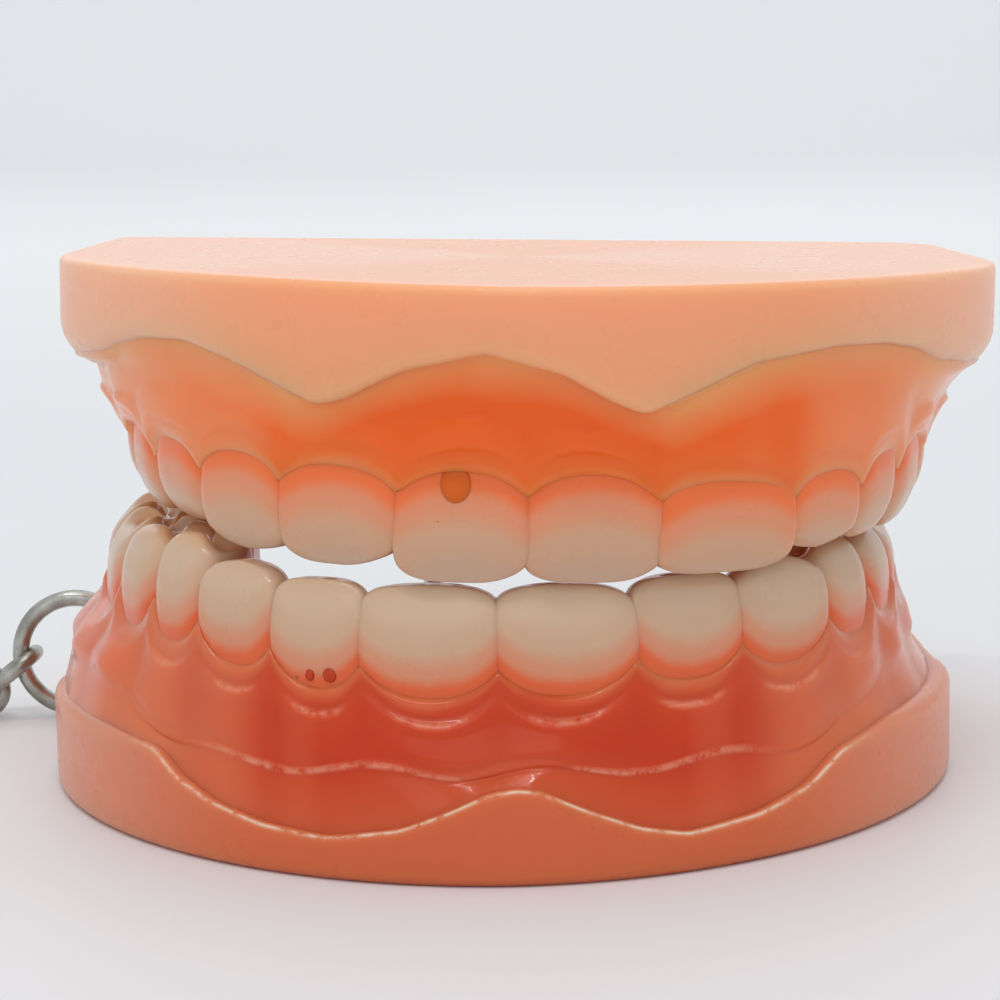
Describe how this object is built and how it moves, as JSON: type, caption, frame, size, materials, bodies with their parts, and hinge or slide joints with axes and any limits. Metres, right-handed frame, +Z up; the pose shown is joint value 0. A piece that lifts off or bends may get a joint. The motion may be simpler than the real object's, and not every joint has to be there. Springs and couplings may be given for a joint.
{
  "type": "typodont model",
  "caption": "Miniature dental typodont on a chain: upper and lower resin jaws with set teeth, hinged at the back so that the mouth opens.",
  "frame": {"origin": "centre of the flat underside of the lower base", "axes": "+Z up from the lower base to the upper base, -Y towards the front teeth, +X towards the model's own left side"},
  "size_m": [0.0493, 0.0384, 0.0231],
  "materials": {
    "base_resin": "translucent salmon resin, gloss",
    "gum_resin": "translucent orange-red resin, gloss",
    "tooth_resin": "cream resin, gloss",
    "steel_wire": "bright drawn wire",
    "chain_metal": "nickel-plated, a little tarnished"
  },
  "bodies": {
    "lower_jaw": {"lower_base": "base_resin", "lower_gum": "gum_resin", "lower_hinge_wire": "steel_wire", "lower_right_central_incisor": "tooth_resin", "lower_right_lateral_incisor": "tooth_resin", "lower_right_canine": "tooth_resin", "lower_right_first_premolar": "tooth_resin", "lower_right_second_premolar": "tooth_resin", "lower_right_first_molar": "tooth_resin", "lower_right_second_molar": "tooth_resin", "lower_left_central_incisor": "tooth_resin", "lower_left_lateral_incisor": "tooth_resin", "lower_left_canine": "tooth_resin", "lower_left_first_premolar": "tooth_resin", "lower_left_second_premolar": "tooth_resin", "lower_left_first_molar": "tooth_resin", "lower_left_second_molar": "tooth_resin"},
    "upper_jaw": {"upper_base": "base_resin", "upper_gum": "gum_resin", "upper_hinge_eye_right": "steel_wire", "upper_hinge_eye_left": "steel_wire", "upper_right_central_incisor": "tooth_resin", "upper_right_lateral_incisor": "tooth_resin", "upper_right_canine": "tooth_resin", "upper_right_first_premolar": "tooth_resin", "upper_right_second_premolar": "tooth_resin", "upper_right_first_molar": "tooth_resin", "upper_right_second_molar": "tooth_resin", "upper_left_central_incisor": "tooth_resin", "upper_left_lateral_incisor": "tooth_resin", "upper_left_canine": "tooth_resin", "upper_left_first_premolar": "tooth_resin", "upper_left_second_premolar": "tooth_resin", "upper_left_first_molar": "tooth_resin", "upper_left_second_molar": "tooth_resin"},
    "jump_ring": {"jump_ring": "chain_metal"},
    "chain_link_1": {"chain_link_1": "chain_metal"},
    "chain_link_2": {"chain_link_2": "chain_metal"}
  },
  "joints": [
    {"name": "jaw_hinge", "type": "hinge", "parent": "lower_jaw", "child": "upper_jaw", "pos_m": [0, 0.0199, 0.0116], "axis": [-1, 0, 0], "range_deg": [0, 100]},
    {"name": "jump_ring_turn", "type": "hinge", "parent": "lower_jaw", "child": "jump_ring", "pos_m": [-0.0175, 0.0135, 0.0031], "axis": [0, 0, 1], "range_deg": [-12, 12]},
    {"name": "link_1_turn", "type": "hinge", "parent": "jump_ring", "child": "chain_link_1", "pos_m": [-0.02326, 0.0135, 0.00268], "axis": [0, 1, 0], "range_deg": [-3, 12]},
    {"name": "link_2_turn", "type": "hinge", "parent": "chain_link_1", "child": "chain_link_2", "pos_m": [-0.0252, 0.0135, 0.00119], "axis": [0, 0, 1], "range_deg": [-12, 10]}
  ]
}
